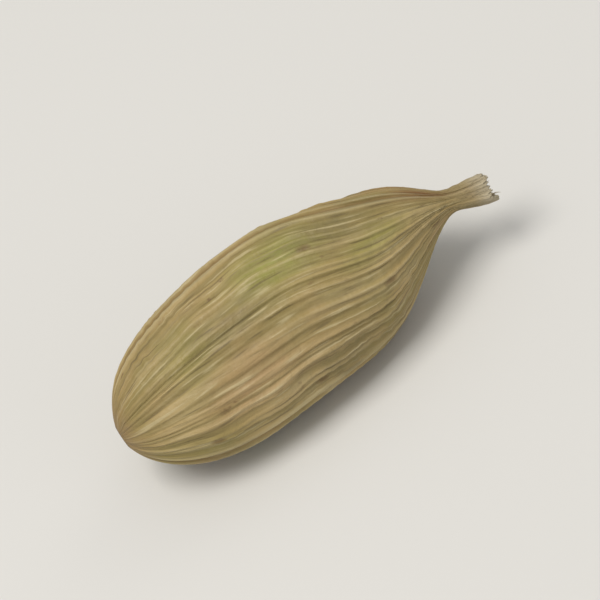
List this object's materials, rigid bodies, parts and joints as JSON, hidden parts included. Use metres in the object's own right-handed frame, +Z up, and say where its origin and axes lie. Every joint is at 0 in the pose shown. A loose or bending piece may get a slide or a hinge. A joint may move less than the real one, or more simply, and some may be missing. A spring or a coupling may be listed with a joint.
{
  "type": "green cardamom pod",
  "caption": "Dried green cardamom pod: a closed, three-sided, ribbed seed pod with a blunt stalk end and a small dry beak, lying on one side.",
  "frame": {"origin": "on the surface that the pod rests on, under the middle of the pod's box", "axes": "+X along the pod from the clipped stalk end to the beak, +Y across it, +Z up from the surface"},
  "size_m": [0.0174, 0.0072, 0.006],
  "materials": {
    "husk": "dry papery plant husk, matt with a faint sheen"
  },
  "bodies": {
    "root": {"pod": "husk"}
  },
  "joints": []
}
